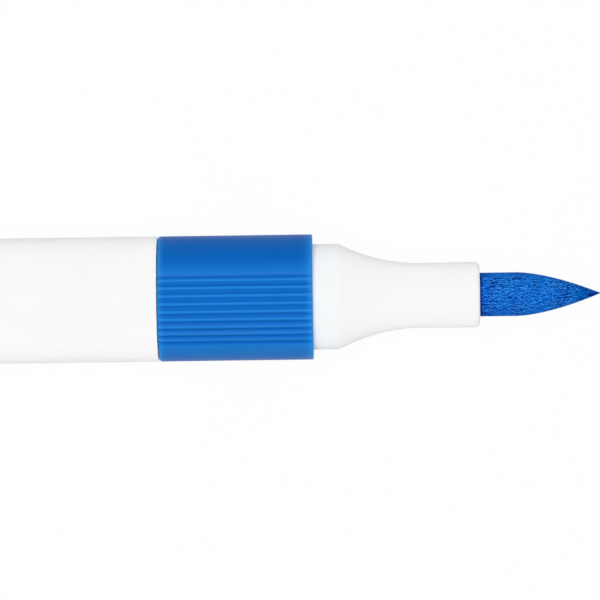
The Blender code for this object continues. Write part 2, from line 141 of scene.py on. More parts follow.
# %% Node helper
def add(tree, kind, inputs=(), **settings):
    """Adds a node. Settings are its attributes. Each input is a value or another node's socket to link."""
    made = tree.nodes.new(kind)
    for key, value in settings.items():
        setattr(made, key, value)
    for socket, value in dict(inputs).items():
        if isinstance(value, bpy.types.NodeSocket):
            tree.links.new(value, made.inputs[socket])
        else:
            made.inputs[socket].default_value = value
    return made


print("node helper ready")

# %% [markdown]
# ## World
# The photograph's weaker light comes from all round: even the sides of the marker aren't dark. A pale
# world gives that. The ground there is plain white, but a world as bright as that would wash the colours
# out. So it is plain white only for the rays that the eye follows: directly, by a reflection or through
# something clear.

# %% World
AMBIENT = 0.22


def seen_by_eye(tree):
    """1 for a camera, glossy or transmitted ray, and 0 for the rays that only carry light."""
    path = add(tree, "ShaderNodeLightPath").outputs
    straight = {0: path["Is Camera Ray"], 1: path["Is Glossy Ray"]}
    mirrored = add(tree, "ShaderNodeMath", straight, operation="MAXIMUM").outputs[0]
    through = {0: mirrored, 1: path["Is Transmission Ray"]}
    return add(tree, "ShaderNodeMath", through, operation="MAXIMUM").outputs[0]


def light_the_world():
    """Strength is the ambient level for light, and 1 for the eye."""
    world = bpy.data.worlds.new("white_tent")
    bpy.context.scene.world = world
    world.use_nodes = True
    tree = world.node_tree
    level = {0: seen_by_eye(tree), 1: 1.0 - AMBIENT, 2: AMBIENT}
    strength = add(tree, "ShaderNodeMath", level, operation="MULTIPLY_ADD").outputs[0]
    tree.links.new(strength, tree.nodes["Background"].inputs["Strength"])
    tree.nodes["Background"].inputs["Color"].default_value = (1.0, 1.0, 1.0, 1.0)


bpy.context.scene.view_settings.view_transform = "Standard"
light_the_world()
print(f"world: a light of {AMBIENT}, and plain white to the eye")

# %% [markdown]
# ## Softbox
# Most of the light comes from straight above: the middle of the blue collar is bright, its sides are
# darker, and there is no hard shadow. A sun lamp would draw hard edges, so the lamp is a wide softbox.
# With the world's share its light comes to about one on a level face, so that a colour renders as it is
# written.

# %% Softbox
SOFTBOX_WATTS = 10.1
SOFTBOX_SIZE = 0.6
SOFTBOX_PLACE = (0.0, -0.03, 1.1)


def add_softbox():
    """A square area lamp that looks at the marker."""
    lamp = bpy.data.lights.new("softbox", "AREA")
    lamp.energy = SOFTBOX_WATTS
    lamp.size = SOFTBOX_SIZE
    softbox = bpy.data.objects.new("softbox", lamp)
    softbox.location = SOFTBOX_PLACE
    x, y, z = SOFTBOX_PLACE
    softbox.rotation_euler = (math.atan2(y, z), -math.atan2(x, z), 0.0)
    softbox.visible_camera = False
    bpy.context.scene.collection.objects.link(softbox)


add_softbox()
overhead = SOFTBOX_WATTS / (math.pi * Vector(SOFTBOX_PLACE).length) ** 2
print(f"light on a level face: {AMBIENT} from the world, {overhead:.2f} from the softbox")

# %% [markdown]
# ## Floor
# The ground of the photograph is pure white. A brighter lamp could burn the floor out, but the marker
# with it. So the floor is a sheet of white paper that touches the barrel: most of what the eye sees of it
# is plain white, and the rest is its own shading, which keeps the marker's soft shadow.

# %% Floor
FLOOR_SIZE = 3.0
FLOOR_SHADOW_SHARE = 0.05
FLOOR_WHITE = (0.92, 0.92, 0.92, 1.0)
FLOOR_Z = AXIS_Z - BODY_RADIUS * MM


def white_paper():
    """Diffuse white, mixed with a plain white emission for the rays that the eye follows."""
    material = bpy.data.materials.new("white_paper_sweep")
    material.use_nodes = True
    tree = material.node_tree
    tree.nodes.remove(tree.nodes["Principled BSDF"])
    share = {0: seen_by_eye(tree), 1: 1.0 - FLOOR_SHADOW_SHARE}
    factor = add(tree, "ShaderNodeMath", share, operation="MULTIPLY").outputs[0]
    shaded = add(tree, "ShaderNodeBsdfDiffuse", {"Color": FLOOR_WHITE}).outputs[0]
    plain = add(tree, "ShaderNodeEmission", {"Strength": 1.0}).outputs[0]
    mixed = add(tree, "ShaderNodeMixShader", {0: factor, 1: shaded, 2: plain}).outputs[0]
    tree.links.new(mixed, tree.nodes["Material Output"].inputs["Surface"])
    return material


def add_floor():
    """A level square at the barrel's underside, marked as stage."""
    half = FLOOR_SIZE / 2
    corners = [(x, y, FLOOR_Z) for x, y in ((-half, -half), (half, -half), (half, half), (-half, half))]
    mesh = bpy.data.meshes.new("floor")
    mesh.from_pydata(corners, [], [(0, 1, 2, 3)])
    mesh.materials.append(white_paper())
    floor = bpy.data.objects.new("floor", mesh)
    bpy.context.scene.collection.objects.link(floor)


add_floor()
print(f"floor at z = {FLOOR_Z / MM:.3f} mm")

# %% [markdown]
# ## Outlines with rounded corners
# A turned piece is an outline carried round the axis. The outline is a short list of corners, each a
# station, a radius and the radius of its rounding, because moulded plastic has no sharp edges: it is the
# rounded edge that catches a line of light. A Bevel modifier rounds a finished mesh, but here each corner
# has a radius of its own. Three grades of edge serve for nearly every one.

# %% Rounded outline
ROUNDING_STEPS = 7
SAME_POINT = 1e-6
CRISP = 0.05
EASED = 0.12
SOFT = 0.28


def rounded(corners, steps=ROUNDING_STEPS):
    """Outline (station, radius) whose corners are rounded, from rows of station, radius and rounding.
    With a and b the directions from a corner to its neighbours and h half the angle between them, the arc
    starts rounding / tan(h) along a, ends as far along b, and is centred rounding / sin(h) along the
    bisector. Its points swing from start to end: (sin((1-t)p) start + sin(tp) end) / sin(p), p = pi - 2h."""
    table = np.asarray(corners, float)
    corner, rounding = table[:, :2], table[:, 2:]
    back = np.roll(corner, 1, 0) - corner
    ahead = np.roll(corner, -1, 0) - corner
    back /= np.linalg.norm(back, axis=1, keepdims=True)
    ahead /= np.linalg.norm(ahead, axis=1, keepdims=True)
    half_angle = np.arccos(np.clip((back * ahead).sum(1, keepdims=True), -1.0, 1.0)) / 2
    swing = np.maximum(np.pi - 2 * half_angle, SAME_POINT)
    bisector = back + ahead
    bisector /= np.maximum(np.linalg.norm(bisector, axis=1, keepdims=True), SAME_POINT)
    centre = corner + bisector * rounding / np.sin(half_angle)
    reach = rounding / np.tan(half_angle)
    start, end = corner + back * reach - centre, corner + ahead * reach - centre
    t = np.linspace(0.0, 1.0, steps)[None, :, None]
    p = swing[:, :, None]
    arc = (np.sin((1 - t) * p) * start[:, None] + np.sin(t * p) * end[:, None]) / np.sin(p)
    points = (centre[:, None] + arc).reshape(-1, 2)
    moved = np.linalg.norm(points - np.roll(points, 1, 0), axis=1) > SAME_POINT
    return points[moved]


print(f"a square corner becomes {ROUNDING_STEPS} points, and a soft edge is {SOFT} mm")

# %% [markdown]
# ## From a grid to faces
# A surface is one array with a row for each point of the outline and a column for each step of the turn.
# Its faces follow from the two counts alone, with no loop over points. The columns close up on
# themselves. So do the rows of a hollow piece, while a piece that is solid on the axis ends in two poles.

# %% Skin
def skin(rows, columns, loop, caps):
    """Faces of a grid whose columns close up. With loop, the last row joins the first. With caps, two more
    points after the grid close its first and last row with fans."""
    grid = np.arange(rows * columns).reshape(rows, columns)
    path = np.vstack((grid, grid[:1])) if loop else grid
    beside = np.roll(path, -1, 1)
    faces = np.stack((path[:-1], path[1:], beside[1:], beside[:-1]), -1).reshape(-1, 4).tolist()
    if caps:
        first, last = np.full(columns, grid.size), np.full(columns, grid.size + 1)
        faces += np.stack((first, path[0], beside[0]), -1).tolist()
        faces += np.stack((path[-1], last, beside[-1]), -1).tolist()
    return faces


print(f"a closed ring of 4 rows and 8 columns has {len(skin(4, 8, True, False))} faces")

# %% [markdown]
# ## From faces to a piece
# Each piece stands for one CAD solid: it hides the solid and moves with its body. As with the solids, the
# object stays at the origin and its place is in its mesh. All of it is shaded smooth, apart from edges
# that are sharper than a rounding leaves them.

# %% Piece
SHARP_ANGLE = math.radians(40)


def make_piece(name, points, faces, centre_z=AXIS_Z):
    """A smooth object from points in millimetres about the axis. Its place is in its mesh."""
    mesh = bpy.data.meshes.new(name)
    mesh.from_pydata(points * MM + np.array((SEAM_X, 0.0, centre_z)), [], faces)
    mesh.shade_smooth()
    mesh.set_sharp_from_angle(angle=SHARP_ANGLE)
    piece = bpy.data.objects.new(name, mesh)
    bpy.context.scene.collection.objects.link(piece)
    print(f"{name}: {len(points)} points, {sum(len(face) - 2 for face in faces)} triangles")
    return piece


def stand_for(piece, node, body):
    """The piece hides a CAD node and moves with a body."""
    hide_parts(node)
    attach(piece, body)


print(f"edges sharper than {math.degrees(SHARP_ANGLE):.0f} degrees stay sharp")

# %% [markdown]
# ## The lathe
# Turning is then one formula. Blender's Screw modifier turns outlines too, but on an array a relief can
# push the radius in or out at any row and column, which makes grooves, threads and fibre without a single
# Boolean.

# %% Turning
COLUMNS = 224


def turned(name, outline, columns=COLUMNS, relief=None, centre_z=AXIS_Z):
    """Surface x = station, y = -r sin(turn), z = r cos(turn). The turn starts straight up and follows the
    right-hand rule about the axis. An outline that begins and ends on the axis is closed by two poles."""
    x, r = outline.T
    if (x * np.roll(r, -1) - np.roll(x, -1) * r).sum() < 0.0:
        outline = outline[::-1]
    solid = outline[0, 1] < SAME_POINT
    rows = outline[1:-1] if solid else outline
    turn = 2 * np.pi * np.arange(columns) / columns
    x, turn = np.meshgrid(rows[:, 0], turn, indexing="ij")
    r = np.repeat(rows[:, 1:], columns, 1)
    if relief:
        r = relief(x, turn, r)
    points = np.stack((x, -r * np.sin(turn), r * np.cos(turn)), -1).reshape(-1, 3)
    if solid:
        poles = np.array([(outline[0, 0], 0.0, 0.0), (outline[-1, 0], 0.0, 0.0)])
        points = np.vstack((points, poles))
    return make_piece(name, points, skin(*x.shape, not solid, solid), centre_z)


print(f"{COLUMNS} columns, one every {360 / COLUMNS:.1f} degrees")

# %% [markdown]
# ## Soft steps
# A relief or a shade that starts abruptly leaves a crease that no moulding has. An S-curve starts and
# ends level, so whatever fades in or out below is made with one.

# %% Soft step
def smoothstep(low, high, value):
    """0 below low, 1 above high, and an S-curve 3t^2 - 2t^3 between them."""
    t = np.clip((value - low) / (high - low), 0.0, 1.0)
    return t * t * (3 - 2 * t)


print(f"a quarter of the way along, the S-curve has risen to {smoothstep(0.0, 1.0, 0.25):.2f}")

# %% [markdown]
# ## Screw thread
# The front section screws into the barrel, on a coarse thread of the kind that moulded bottles have. A
# thread can be swept along a helix and joined with a Boolean, but on a turned grid it is only a relief:
# the distance along the axis from a point to the nearest turn of the helix says how high the ridge stands
# there. The ridge fades in and out over a third of a turn at its ends.

# %% Thread relief
THREAD_PITCH = 2.4
THREAD_TURNS = 2.25
THREAD_FADE = 1 / 3
THREAD_CREST_HALF = 0.25
THREAD_ROOT_HALF = 0.41
THREAD_MARGIN = 0.45
THREAD_ROW = 0.06


def thread_height(x, turn, start):
    """0 to 1. The helix passes start + pitch (turn / 2 pi + k) for each whole k. The offset to the nearest
    one gives the trapezoid, and the number of turns since the start gives the fade."""
    since = (x - start) / THREAD_PITCH - turn / (2 * np.pi)
    whole = np.round(since)
    offset = np.abs(since - whole) * THREAD_PITCH
    turns = whole + turn / (2 * np.pi)
    fade = smoothstep(0.0, THREAD_FADE, turns) * smoothstep(0.0, THREAD_FADE, THREAD_TURNS - turns)
    return fade * smoothstep(THREAD_ROOT_HALF, THREAD_CREST_HALF, offset)


def wall(first, last, radius, step):
    """Corners with no rounding along a straight wall, closely spaced, for a relief to shape."""
    stations = np.linspace(first, last, max(2, round(abs(last - first) / step)))
    return [(x, radius, 0.0) for x in stations]


def thread_wall(start, radius):
    """Closely spaced corners along the stretch that a thread takes up, with a margin at each end."""
    last = start + THREAD_TURNS * THREAD_PITCH
    return wall(start - THREAD_MARGIN, last + THREAD_MARGIN, radius, THREAD_ROW)


print(f"thread: {THREAD_TURNS} turns of {THREAD_PITCH} mm")

# %% [markdown]
# ## Barrel
# The barrel is a plain white tube, moulded in polypropylene, that holds the paint. A plain cylinder would
# do for the photograph, but with the front unscrewed the mouth shows its bore, and in it the inner half
# of the screw thread, half a pitch away from the outer one. The edge at the seam is hardly rounded. With
# the collar's own rounding and the gap between them it makes the fine dark line that separates white from
# blue.

# %% Barrel
TAIL = span("barrel")[0]
BORE_RADIUS = 5.7
MOUTH_EDGE = 0.08
SPIGOT_THREAD_START = -8.2
BARREL_THREAD_START = SPIGOT_THREAD_START - THREAD_PITCH / 2
BARREL_THREAD_HEIGHT = 0.45


def barrel_relief(x, turn, r):
    """The bore's radius minus the thread's height. The outside is left as it is."""
    inside = r < BORE_RADIUS + SAME_POINT
    return r - inside * BARREL_THREAD_HEIGHT * thread_height(x, turn, BARREL_THREAD_START)


barrel_corners = [
    (TAIL, BORE_RADIUS, SOFT),
    (TAIL, BODY_RADIUS, SOFT),
    (0.0, BODY_RADIUS, MOUTH_EDGE),
    (0.0, BORE_RADIUS, SOFT),
]
barrel_corners += thread_wall(BARREL_THREAD_START, BORE_RADIUS)[::-1]
barrel_tube = turned("barrel_tube", rounded(barrel_corners), relief=barrel_relief)
stand_for(barrel_tube, "barrel", "barrel")

# %% [markdown]
# ## Grooves
# The fingers turn the front section by the blue collar, and shallow grooves give them a hold: ten on the
# side towards the eye and ten more on the far side, with smooth plastic between the two panels. Rods
# could be cut out of a ring, but that leaves sharp ridges. Here a groove is a dip of the radius, a raised
# cosine across, which leaves soft round ribs. The grooves run from end to end. The first one is a little
# shallower than the rest, and all of them are shallower at the front.

# %% Grooves
COLLAR_REAR, COLLAR_FRONT = span("grip_collar")
PANEL_LEAN = math.radians(12.6)
GROOVE_COUNT = 10
GROOVE_PITCH = math.radians(7.4)
PANEL_HALF = GROOVE_PITCH * GROOVE_COUNT / 2
GROOVE_DEPTH = 0.2
GROOVE_RISE = (-2.0, 1.0)
GROOVE_RUN_OUT = 1.0
GROOVE_FRONT_SHARE = 0.7


def from_panel(turn):
    """Angle from the middle of the nearer panel. The two panels are opposite each other."""
    return np.mod(turn - PANEL_LEAN + np.pi / 2, np.pi) - np.pi / 2


def groove(x, turn):
    """0 to 1: 0.5 + 0.5 cos(2 pi s) across, s counted in grooves from the first, times an S-curve over the
    rise in s, and a share along the axis that falls from 1 to the front share over the run-out."""
    s = from_panel(turn) / GROOVE_PITCH + (GROOVE_COUNT - 1) / 2
    across = (0.5 + 0.5 * np.cos(2 * np.pi * s)) * smoothstep(*GROOVE_RISE, s)
    across *= np.abs(from_panel(turn)) < PANEL_HALF
    return across * (1 - (1 - GROOVE_FRONT_SHARE) * smoothstep(GROOVE_RUN_OUT, 0.0, COLLAR_FRONT - x))


print(f"grooves: {GROOVE_COUNT} in each panel of {math.degrees(2 * PANEL_HALF):.0f} degrees")

# %% [markdown]
# ## Ribbed collar
# The collar is a ring, clamped between the barrel and the nose's shoulder, that shows the paint's colour.
# Its edge is rounder at the seam than at the nose. Its rows could be evenly spaced, but only the rims
# need them close together, because that is where the painted highlight on the rims changes quickly.

# %% Collar
SLEEVE_RADIUS = 5.6
FIT = 0.1
COLLAR_BORE = SLEEVE_RADIUS + FIT
REAR_RIM = 1.2
FRONT_RIM = 2.0
RIM_ROW = 0.1
FRONT_EDGE = 0.15
COLLAR_COLUMNS = 960


def collar_relief(x, turn, r):
    """The outside's radius minus the groove's depth. The bore is left as it is."""
    outside = r > (COLLAR_BORE + BODY_RADIUS) / 2
    return r - outside * GROOVE_DEPTH * groove(x, turn)


collar_corners = [
    (COLLAR_REAR, COLLAR_BORE, EASED),
    (COLLAR_REAR, BODY_RADIUS, SOFT),
    *wall(COLLAR_REAR + SOFT + RIM_ROW, COLLAR_REAR + REAR_RIM, BODY_RADIUS, RIM_ROW),
    *wall(COLLAR_FRONT - FRONT_RIM, COLLAR_FRONT - FRONT_EDGE - RIM_ROW, BODY_RADIUS, RIM_ROW),
    (COLLAR_FRONT, BODY_RADIUS, FRONT_EDGE),
    (COLLAR_FRONT, COLLAR_BORE, EASED),
]
ribbed_collar = turned("ribbed_collar", rounded(collar_corners), COLLAR_COLUMNS, collar_relief)
stand_for(ribbed_collar, "grip_collar", "front")

# %% [markdown]
# ## Nose, outside
# The nose is one moulding. What shows is a short straight shoulder, a hollow curve and a straight neck
# with a rounded lip. The curve could be a spline drawn by eye. An arc says the same with a length and a
# drop, and it meets the neck without a corner. Where it leaves the shoulder there is a clear but softened
# edge.

# %% Nose outside
NOSE_REAR, NOSE_END = span("nose_cone")
SHOULDER_GAP = 0.01
SHOULDER_START = COLLAR_FRONT + SHOULDER_GAP
SHOULDER_END = 20.2
SHOULDER_EDGE = 1.6
FLARE_LENGTH = 9.2
FLARE_END = SHOULDER_END + FLARE_LENGTH
FLARE_STEPS = 40
NECK_RADIUS = 3.62
NECK_END_RADIUS = 3.66
LIP_EDGE = 0.55


def flare():
    """Arc of radius (length^2 + drop^2) / (2 drop), level where it meets the neck. It starts where the
    rounding of the shoulder's edge is over."""
    drop = SHOULDER_RADIUS - NECK_RADIUS
    radius = (FLARE_LENGTH**2 + drop**2) / (2 * drop)
    x = np.linspace(SHOULDER_END + SHOULDER_EDGE / 2, FLARE_END, FLARE_STEPS)
    r = NECK_RADIUS + radius - np.sqrt(radius**2 - (FLARE_END - x) ** 2)
    return np.column_stack((x, r, np.zeros_like(x))).tolist()


nose_outside = [
    (SHOULDER_START, SHOULDER_RADIUS, 0.0),
    (SHOULDER_END, SHOULDER_RADIUS, SHOULDER_EDGE),
    *flare(),
    (NOSE_END, NECK_END_RADIUS, LIP_EDGE),
]
print(f"nose: shoulder to {SHOULDER_END} mm, flare to {FLARE_END:.1f} mm, lip at {NOSE_END:.2f} mm")

# %% [markdown]
# ## Nose, inside
# Out of sight the same moulding goes on as a sleeve inside the collar and as a threaded spigot inside the
# barrel, with a groove for the seal. Its bore is stepped: wide for the valve, narrow for the nib. Outside
# and inside could be two surfaces, but joined into one closed outline they are a wall with a thickness.
# The spigot's thread is a relief like the barrel's.

# %% Nose
SPIGOT_RADIUS = 5.0
SPIGOT_THREAD_HEIGHT = 0.5
SEAL_GROOVE = 4.75
SEAL_REAR, SEAL_FRONT = span("front_seal")
NIB_BORE = NIB_RADIUS + FIT
NIB_BORE_REAR = 26.5
NIB_MOUTH_BEVEL = 0.18
NOSE_CAVITY = 3.7
NOSE_CAVITY_FRONT = 21.0
VALVE_BORE = 4.2
VALVE_BORE_FRONT = 14.0


def nose_relief(x, turn, r):
    """The spigot's radius plus the thread's height. The rest is left as it is."""
    on_spigot = (np.abs(r - SPIGOT_RADIUS) < SAME_POINT) & (x < SEAL_REAR)
    return r + on_spigot * SPIGOT_THREAD_HEIGHT * thread_height(x, turn, SPIGOT_THREAD_START)


nose_corners = [
    (NOSE_REAR, VALVE_BORE, EASED),
    (NOSE_REAR, SPIGOT_RADIUS, SOFT),
    *thread_wall(SPIGOT_THREAD_START, SPIGOT_RADIUS),
    (SEAL_REAR - FIT, SPIGOT_RADIUS, CRISP),
    (SEAL_REAR - FIT, SEAL_GROOVE, CRISP),
    (SEAL_FRONT + FIT, SEAL_GROOVE, CRISP),
    (SEAL_FRONT + FIT, SPIGOT_RADIUS, CRISP),
    (FIT, SPIGOT_RADIUS, 0.0),
    (FIT, SLEEVE_RADIUS, EASED),
    (SHOULDER_START, SLEEVE_RADIUS, 0.0),
    *nose_outside,
    (NOSE_END, NIB_BORE + NIB_MOUTH_BEVEL, CRISP),
    (NOSE_END - NIB_MOUTH_BEVEL, NIB_BORE, CRISP),
    (NIB_BORE_REAR, NIB_BORE, SOFT),
    (NOSE_CAVITY_FRONT, NOSE_CAVITY, SOFT),
    (VALVE_BORE_FRONT, NOSE_CAVITY, EASED),
    (VALVE_BORE_FRONT, VALVE_BORE, EASED),
]
nose = turned("nose", rounded(nose_corners), relief=nose_relief)
stand_for(nose, "nose_cone", "front")

# %% [markdown]
# ## Fibre
# The nib is a rod of fine fibres bonded with resin. Its surface isn't smooth: the ends and backs of the
# fibres stand up as short dashes along the nib. Real hairs would be far too many, so the dashes are a
# field of numbers: white noise, kept down to the width of a strand and smoothed along the nib, which
# leaves thin dashes of many lengths. Felt is never quite even, so a broad second noise makes the dashes
# stronger in some places than in others, and the furrows end up deeper than the ridges are high.

# %% Fibre field
NIB_TAIL, NIB_TIP = span("brush_nib")
FIELD_SIZE = 1024
FIELD_MM = 32.0
FIBRE_LENGTH = 0.1
FIBRE_WIDTH = 0.05
FIBRE_GAP = 0.1
FIBRE_EVENNESS = 0.85
CLUMP_SIZE = 1.2
CLUMPING = 0.35
FURROW_SHARE = 0.12


def shaped_noise(random, power):
    """White noise whose spectrum is multiplied by the root of a power, scaled to a spread of 1."""
    field = np.fft.ifft2(np.fft.fft2(random.standard_normal(power.shape)) * np.sqrt(power)).real
    return field / field.std()


def fibre_field(seed):
    """Square periodic field of spread 1. The dashes' power is 1 / (1 + (f length)^2) along the nib, and
    exp(-(f width)^2 / 4) (1 - evenness exp(-(f gap)^2 / 4)) across it, f in radians per millimetre. They
    are multiplied by 1 + clumping times a noise of power exp(-(f size)^2 / 4) both ways. A height h is then
    lowered by a share of h^2, which deepens furrows and flattens ridges."""
    random = np.random.default_rng(seed)
    f = 2 * np.pi * np.fft.fftfreq(FIELD_SIZE, FIELD_MM / FIELD_SIZE)
    along, across = f[:, None], f[None, :]
    dashes = np.exp(-((across * FIBRE_WIDTH) ** 2) / 4) / (1 + (along * FIBRE_LENGTH) ** 2)
    dashes *= 1 - FIBRE_EVENNESS * np.exp(-((across * FIBRE_GAP) ** 2) / 4)
    clumps = np.exp(-(along**2 + across**2) * CLUMP_SIZE**2 / 4)
    height = shaped_noise(random, dashes) * (1 + CLUMPING * shaped_noise(random, clumps))
    height -= FURROW_SHARE * (height**2 - 1)
    return height / height.std()


fibres = fibre_field(seed=97)
print(f"fibre field of {FIELD_SIZE} x {FIELD_SIZE}, from {fibres.min():.1f} to {fibres.max():.1f}")

# %% [markdown]
# ## Reading the field
# The field is a square of numbers that repeats like wallpaper. A point of the nib falls between four of
# them. Taking the nearest one would show as steps, so its height is the mean of all four, weighted by how
# near each is.

# %% Field reading
def sample(field, u, v):
    """Bilinear value of a periodic square field at u and v millimetres along its sides."""
    size = len(field)
    u, v = u / FIELD_MM * size, v / FIELD_MM * size
    i, j = np.floor(u).astype(int), np.floor(v).astype(int)
    a, b = u - i, v - j
    near = field[i % size, j % size] * (1 - b) + field[i % size, (j + 1) % size] * b
    far = field[(i + 1) % size, j % size] * (1 - b) + field[(i + 1) % size, (j + 1) % size] * b
    return near * (1 - a) + far * a


print(f"fibre height on the axis at the tip: {sample(fibres, NIB_TIP, 0.0):.2f}")

# %% [markdown]
# ## Marks on a surface
# A finish often follows the shape, and so can painted light: a painted highlight on rounded rims, or
# painted shade and wet paint in the furrows between fibres. It could be painted on an image. Here a mark
# keeps a number on every point, worked out by a rule from its station and turn, and a material reads it
# back.

# %% Marks
def mark(piece, name, rule):
    """Keeps rule(station, turn) on every point of a piece, as an attribute of that name."""
    places = np.empty(3 * len(piece.data.vertices))
    piece.data.vertices.foreach_get("co", places)
    x, y, z = (places.reshape(-1, 3) - (SEAM_X, 0.0, AXIS_Z)).T / MM
    values = rule(x, np.arctan2(-y, z)).astype(np.float32)
    piece.data.attributes.new(name, "FLOAT", "POINT").data.foreach_set("value", values)
    print(f"{piece.name}: {name} from {values.min():.2f} to {values.max():.2f}")


print("marks are kept as attributes of the points")

# %% [markdown]
# ## Brush nib
# The rod is ground to a point. Its outline is straight in the nose and for a few millimetres outside it,
# and then bends in to the point. A few corners and a spline would only come near that, while one power
# curve gives it.

# %% Nib outline
NIB_TAPER = 9.3
NIB_TAPER_POWER = 1.57
NIB_HIDDEN = 0.3
NIB_ROW = 0.06


def nib_radius(x):
    """R (1 - share^power), the share counted from where the taper starts. R before that."""
    share = np.clip((x - NIB_TIP) / NIB_TAPER + 1, 0.0, 1.0)
    return NIB_RADIUS * (1 - share**NIB_TAPER_POWER)


def nib_outline():
    """The nib's radius by station, in rows that are close together from just inside the nose onwards."""
    rod_start = NOSE_END - NIB_HIDDEN
    tail = rounded([(NIB_TAIL, 0.0, 0.0), (NIB_TAIL, NIB_RADIUS, SOFT), (rod_start, NIB_RADIUS, 0.0)])
    x = np.linspace(rod_start, NIB_TIP, round((NIB_TIP - rod_start) / NIB_ROW))[1:]
    return np.vstack((tail, np.column_stack((x, nib_radius(x)))))


print(f"nib: {NIB_TIP - NOSE_END:.2f} mm out of the nose, in {len(nib_outline())} rows")

# %% [markdown]
# ## Fibre on the nib
# The fibre field raises the surface by a few hundredths of a millimetre. Wrapped round the rod like a
# label, it would crowd together at the point, so it is laid flat over the nib, once from above and once
# from the side. The heights are also kept as a mark, so that the colour can be dark in the furrows, partly
# wet paint and partly painted shade, and light on the ridges, a painted highlight. Under the nose's lip
# the mark is lower, a painted shadow, and towards the point it is a little lower too, so both are darker.

# %% Nib
NIB_COLUMNS = 420
FIBRE_RELIEF = 0.012
FLANK_RANGE = (0.4, 0.6)
ROOT_LENGTH = 0.5
ROOT_SHADE = 1.0
POINT_LENGTH = 5.0
POINT_SHADE = 0.8


def fibre_height(x, turn):
    """The fibre field, laid flat: by x and y where the surface faces up or down, by x and z where it faces
    sideways, and a mix of the two, scaled to the same spread, in between. So the strands are as wide at the
    point as on the rod. The field sinks at the nose's lip, which paints a shadow there, and a little
    towards the point."""
    r = nib_radius(x)
    sideways = smoothstep(*FLANK_RANGE, np.sin(turn) ** 2)
    level = sample(fibres, x, -r * np.sin(turn)) * (1 - sideways)
    upright = sample(fibres, x, FIELD_MM / 2 + r * np.cos(turn)) * sideways
    # A painted shadow under the nose's lip, and a point that is a little darker.
    root = ROOT_SHADE * smoothstep(ROOT_LENGTH, 0.0, x - NOSE_END)
    point = POINT_SHADE * smoothstep(POINT_LENGTH, 0.0, NIB_TIP - x)
    return (level + upright) / np.hypot(sideways, 1 - sideways) - root - point


def nib_relief(x, turn, r):
    """Radius plus the relief times the fibre's height. It fades out towards the point."""
    return r + FIBRE_RELIEF * fibre_height(x, turn) * smoothstep(0.0, NIB_RADIUS, r)


brush_tip = turned("brush_tip", nib_outline(), NIB_COLUMNS, nib_relief)
mark(brush_tip, "fibre", fibre_height)
stand_for(brush_tip, "brush_nib", "nib")

# %% [markdown]
# ## Tail plug
# The tail is closed by a plug that is pushed into the barrel as far as its flange. Behind the flange is a
# stub of the same width as the nose's shoulder, so that the cap fits on either end. Plug, flange and stub
# could be three cylinders joined up. As one outline they are one closed skin.

# %% Tail plug
PLUG_REAR, PLUG_FRONT = span("end_plug")
PLUG_CAVITY = 4.4
FLANGE_FRONT = TAIL - FIT
FLANGE_THICKNESS = 1.5
FLANGE_REAR = FLANGE_FRONT - FLANGE_THICKNESS
FLOOR_WALL = 1.6
END_EDGE = 1.0

plug_corners = [
    (PLUG_REAR + FLOOR_WALL, 0.0, 0.0),
    (PLUG_REAR + FLOOR_WALL, PLUG_CAVITY, SOFT),
    (PLUG_FRONT, PLUG_CAVITY, EASED),
    (PLUG_FRONT, BORE_RADIUS - FIT, SOFT),
    (FLANGE_FRONT, BORE_RADIUS - FIT, CRISP),
    (FLANGE_FRONT, BODY_RADIUS, SOFT),
    (FLANGE_REAR, BODY_RADIUS, SOFT),
    (FLANGE_REAR, SHOULDER_RADIUS, CRISP),
    (PLUG_REAR, SHOULDER_RADIUS, END_EDGE),
    (PLUG_REAR, 0.0, 0.0),
]
tail_plug = turned("tail_plug", rounded(plug_corners))
stand_for(tail_plug, "end_plug", "barrel")

# %% [markdown]
# ## Cap
# In use the cap sits on the tail. It is a deep cup with a wide mouth that grips the stub, and a narrower
# bore that holds the liner. The small dimple in its end is where the plastic ran into the mould. It could
# be cut with a Boolean, but two more corners of the outline do the same.

# %% Cap
CAP_END, CAP_MOUTH = span("cap_shell")
CAP_BORE = 5.4
CAP_MOUTH_RADIUS = SHOULDER_RADIUS + FIT
CAP_MOUTH_DEPTH = 12.5
CAP_STEP = CAP_MOUTH - CAP_MOUTH_DEPTH
GATE_RADIUS = 0.9
GATE_DEPTH = 0.15

cap_corners = [
    (CAP_END + FLOOR_WALL, 0.0, 0.0),
    (CAP_END + FLOOR_WALL, CAP_BORE, SOFT),
    (CAP_STEP, CAP_BORE, EASED),
    (CAP_STEP, CAP_MOUTH_RADIUS, EASED),
    (CAP_MOUTH, CAP_MOUTH_RADIUS, EASED),
    (CAP_MOUTH, BODY_RADIUS, SOFT),
    (CAP_END, BODY_RADIUS, END_EDGE),
    (CAP_END, GATE_RADIUS + GATE_DEPTH, CRISP),
    (CAP_END + GATE_DEPTH, GATE_RADIUS, CRISP),
    (CAP_END + GATE_DEPTH, 0.0, 0.0),
]
cap_outer = turned("cap_outer", rounded(cap_corners))
stand_for(cap_outer, "cap_shell", "cap")

# %% [markdown]
# ## Cap liner
# When the marker is put away, a softer inner cup closes round the neck of the nose and keeps the nib wet.
# Its deep end is pushed into the cap, and its lip narrows once, just past the end of the neck, to a bore
# for the nib. A plain tube would look the same through the cap's mouth, but these steps are what makes it
# hold and seal.

# %% Cap liner
LINER_END, LINER_MOUTH = span("cap_liner")
LINER_SEAL = 3.76
LINER_NIB = 3.3
LINER_NIB_DEPTH = 22.0
LINER_NIB_MOUTH = CAP_MOUTH - LINER_NIB_DEPTH
LINER_SEAL_END = LINER_NIB_MOUTH + LINER_SEAL - LINER_NIB
LINER_OUTER = 4.7
LINER_PLUG = CAP_BORE - FIT
LINER_PLUG_DEPTH = 29.0
LINER_PLUG_FRONT = CAP_MOUTH - LINER_PLUG_DEPTH

